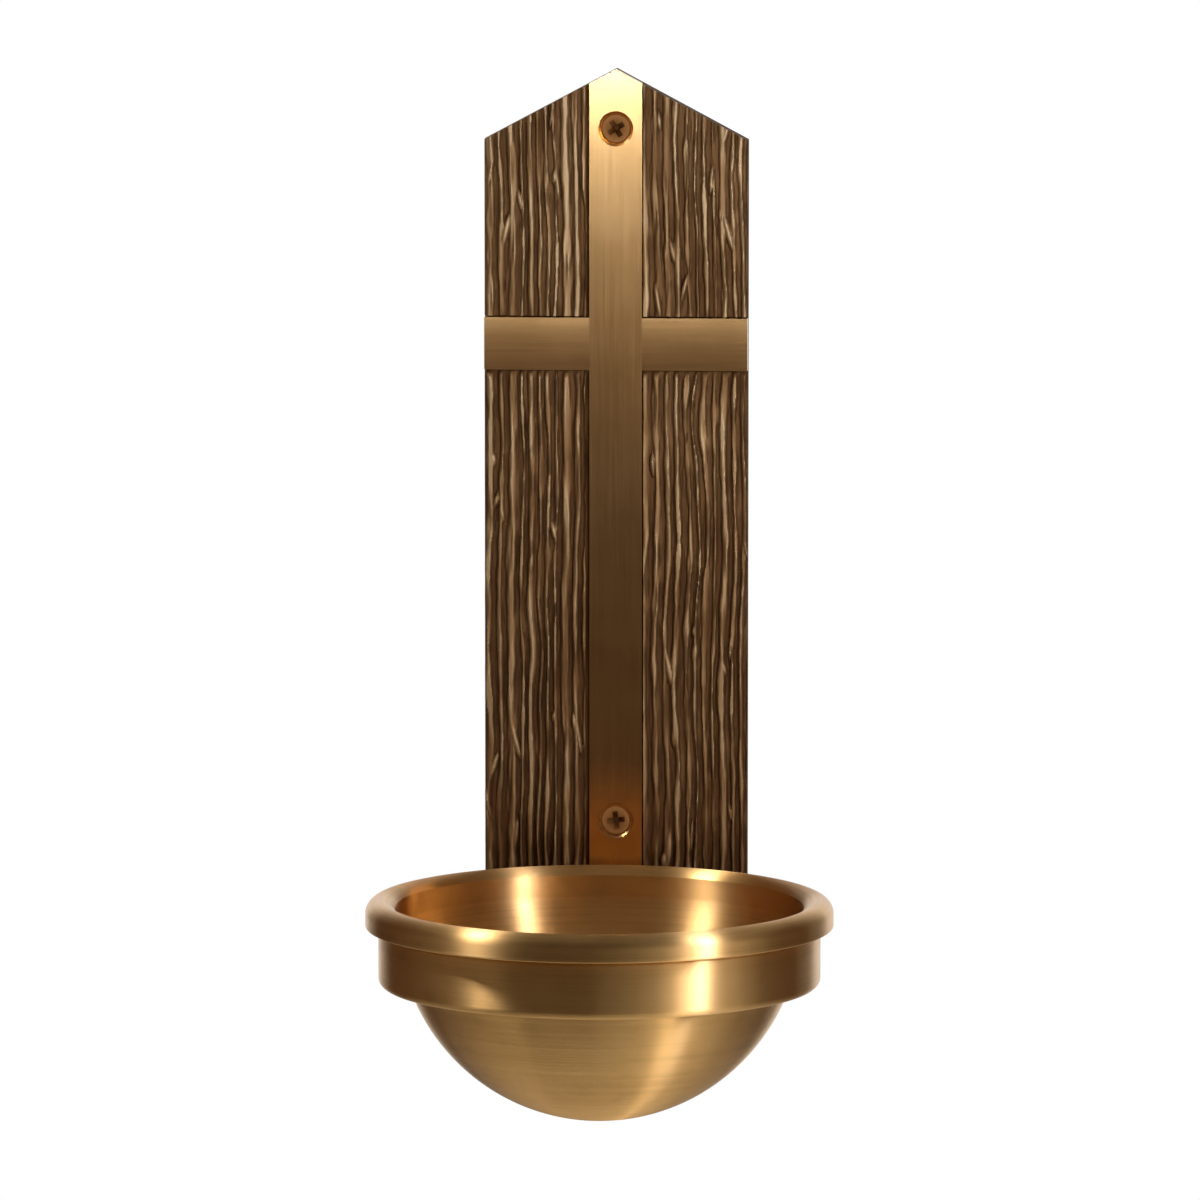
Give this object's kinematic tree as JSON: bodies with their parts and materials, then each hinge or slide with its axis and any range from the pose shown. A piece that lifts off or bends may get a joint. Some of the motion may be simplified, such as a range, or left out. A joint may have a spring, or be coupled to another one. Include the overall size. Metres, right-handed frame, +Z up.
{
  "type": "holy water stoup",
  "caption": "Wall-hung bronze holy water stoup: gabled back plate with woodgrain relief and an inlaid Latin cross, and a round bowl that hangs by its lip in a ring and lifts out.",
  "frame": {"origin": "on the wall plane at the back of the plate, midway between the two wall screws", "axes": "+Z up, +Y into the wall, -Y out to the room, +X to the right of a person facing the stoup"},
  "size_m": [0.111, 0.1527, 0.2446],
  "materials": {
    "dark_bronze": "cast bronze, oxidised dark brown in the valleys and rubbed to a dull tan on the ridges",
    "satin_bronze": "satin brushed bronze, brushed along the bars and turned round the bowl and ring",
    "screw_bronze": "plain bronze screws, a little darker than the bars"
  },
  "bodies": {
    "wall_bracket": {"back_plate": "dark_bronze", "cross_upright": "satin_bronze", "cross_arm_left": "satin_bronze", "cross_arm_right": "satin_bronze", "standoff_block": "satin_bronze", "bowl_ring": "satin_bronze", "wall_screw_upper": "screw_bronze", "wall_screw_lower": "screw_bronze", "ring_screw_upper": "screw_bronze", "ring_screw_lower": "screw_bronze", "arm_screw_left": "screw_bronze", "arm_screw_right": "screw_bronze"},
    "bowl": {"bowl": "satin_bronze"}
  },
  "joints": [
    {"name": "bowl_lift", "type": "slide", "parent": "wall_bracket", "child": "bowl", "axis": [0, 0, 1], "range_m": [0, 0.06]}
  ]
}
